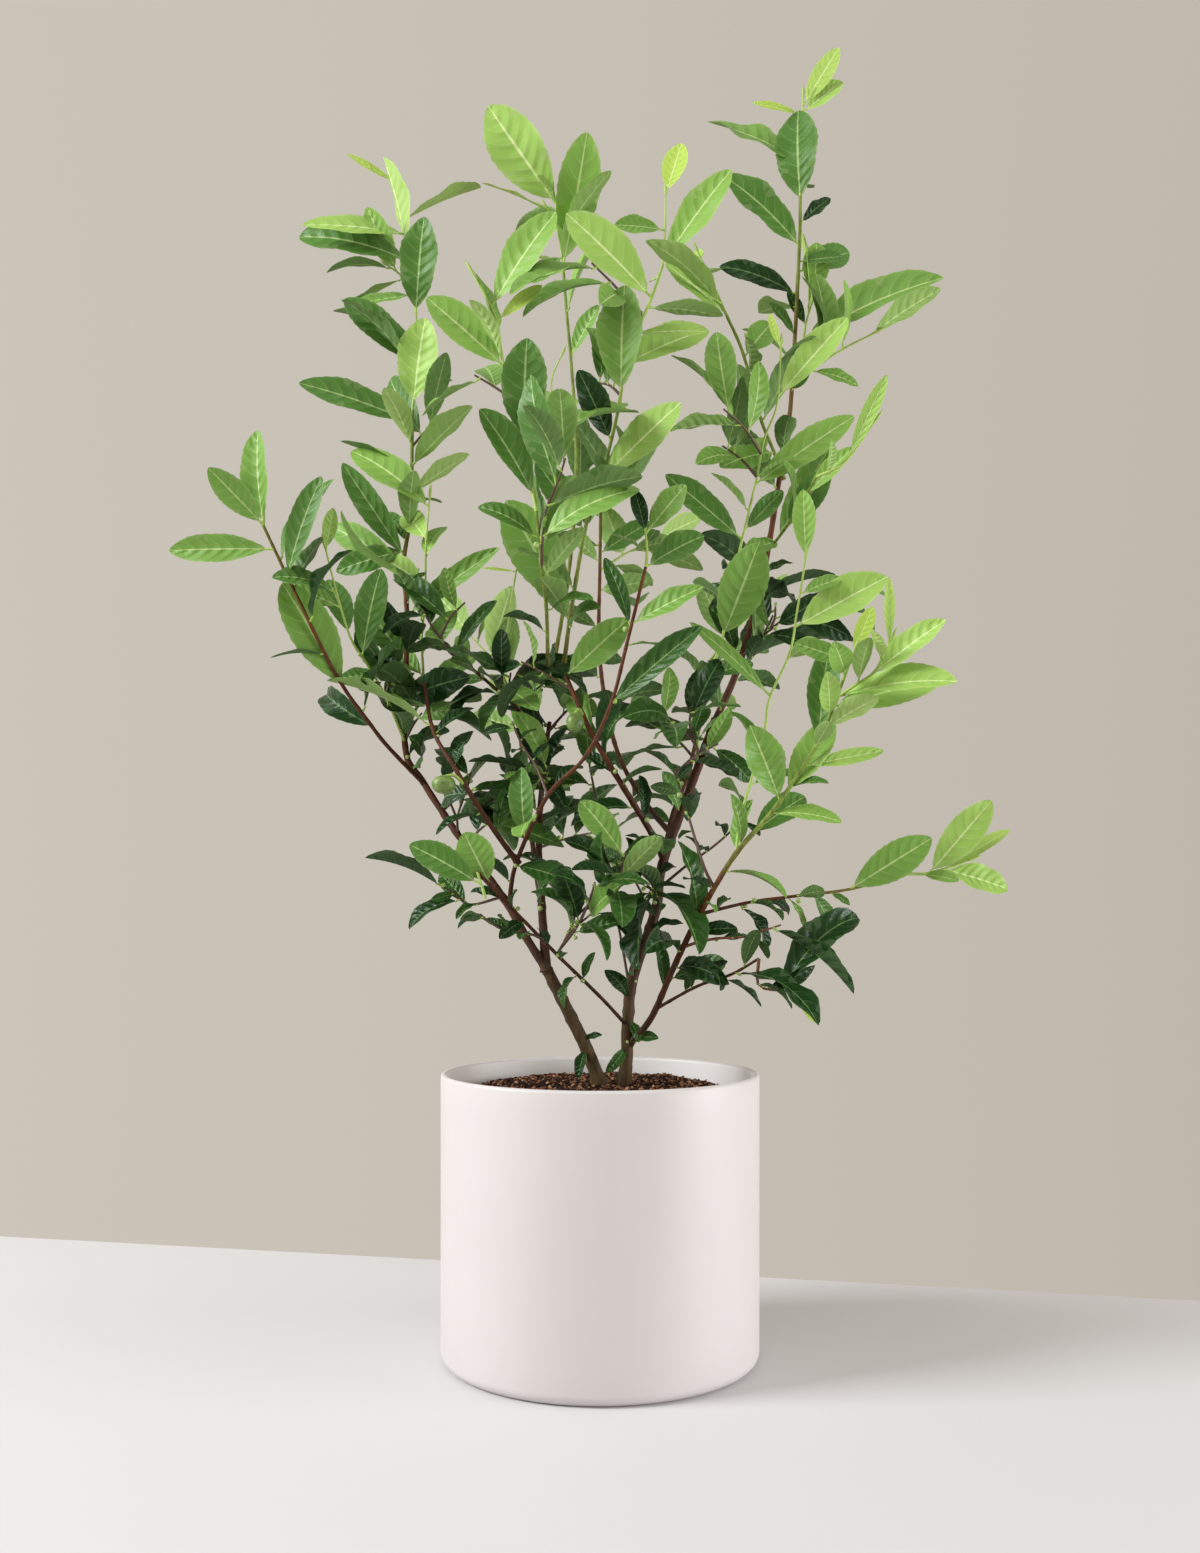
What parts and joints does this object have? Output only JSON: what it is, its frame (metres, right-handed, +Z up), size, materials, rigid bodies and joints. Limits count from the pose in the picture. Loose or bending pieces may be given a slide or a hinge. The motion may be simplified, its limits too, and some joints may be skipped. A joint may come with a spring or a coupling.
{
  "type": "potted tea bush",
  "caption": "Potted tea bush: slender forking stems carry open sprays of leathery, toothed leaves above a plain straight-sided glazed pot.",
  "frame": {"origin": "centre of the pot's flat underside, on the surface that the pot stands on", "axes": "+Z up, -Z out of the pot's underside, +X to the right and +Y to the back of the bush as it is shown"},
  "size_m": [0.643, 0.3953, 1.066],
  "materials": {
    "glaze": "smooth off-white satin glaze with a faint warm tint",
    "mix": "dark, damp bark and coir chips with paler brown flecks",
    "bark": "matt olive-brown bark with lenticels and fine ridges",
    "red_bark": "smooth red-brown young bark, greener towards the tips",
    "old_leaf": "dark leathery leaf, half-gloss above, paler below",
    "leaf": "mid-green leathery leaf, half-gloss above, paler below",
    "young_leaf": "soft yellow-green new leaf with a pale midrib"
  },
  "bodies": {
    "root": {"pot": "glaze", "potting_mix": "mix", "stem_left": "bark", "stem_right": "bark", "leader_left": "red_bark", "leader_right": "red_bark", "bough_upright": "red_bark", "bough_centre": "red_bark", "bough_inner": "red_bark", "bough_inner_left": "red_bark", "bough_cross": "red_bark", "bough_far_left": "red_bark", "bough_right": "red_bark", "bough_low_right": "red_bark", "bough_far_right": "red_bark", "bough_mid_left": "red_bark", "bough_back_left": "red_bark", "bough_back_right": "red_bark", "bough_back_upper": "red_bark", "bough_low_mid": "red_bark", "shoot_centre_top": "red_bark", "shoot_centre_upper": "red_bark", "shoot_front": "red_bark", "shoot_inner_right": "red_bark", "shoot_right": "red_bark", "foliage_left_top": "young_leaf", "foliage_left_upper": "leaf", "foliage_left_mid": "leaf", "foliage_left_low": "old_leaf", "foliage_left_outer": "leaf", "foliage_far_left": "leaf", "foliage_inner_top": "leaf", "foliage_front": "leaf", "foliage_centre_top": "young_leaf", "foliage_centre_upper": "leaf", "foliage_inner_right_top": "young_leaf", "foliage_right_top": "young_leaf", "foliage_right_upper": "leaf", "foliage_right_crest": "leaf", "foliage_right_shoulder": "leaf", "foliage_right_twig": "young_leaf", "foliage_inner_right": "leaf", "foliage_right_mid": "old_leaf", "foliage_right_fan": "young_leaf", "foliage_right_drop": "leaf", "foliage_far_right": "young_leaf", "foliage_low_right": "old_leaf", "foliage_low_mid": "old_leaf", "foliage_low_left": "young_leaf", "foliage_centre_low": "old_leaf", "foliage_centre": "old_leaf", "foliage_mid_right": "old_leaf", "foliage_back_left": "leaf", "foliage_back_right": "leaf", "foliage_back_upper": "leaf", "foliage_back_low": "old_leaf"}
  },
  "joints": []
}
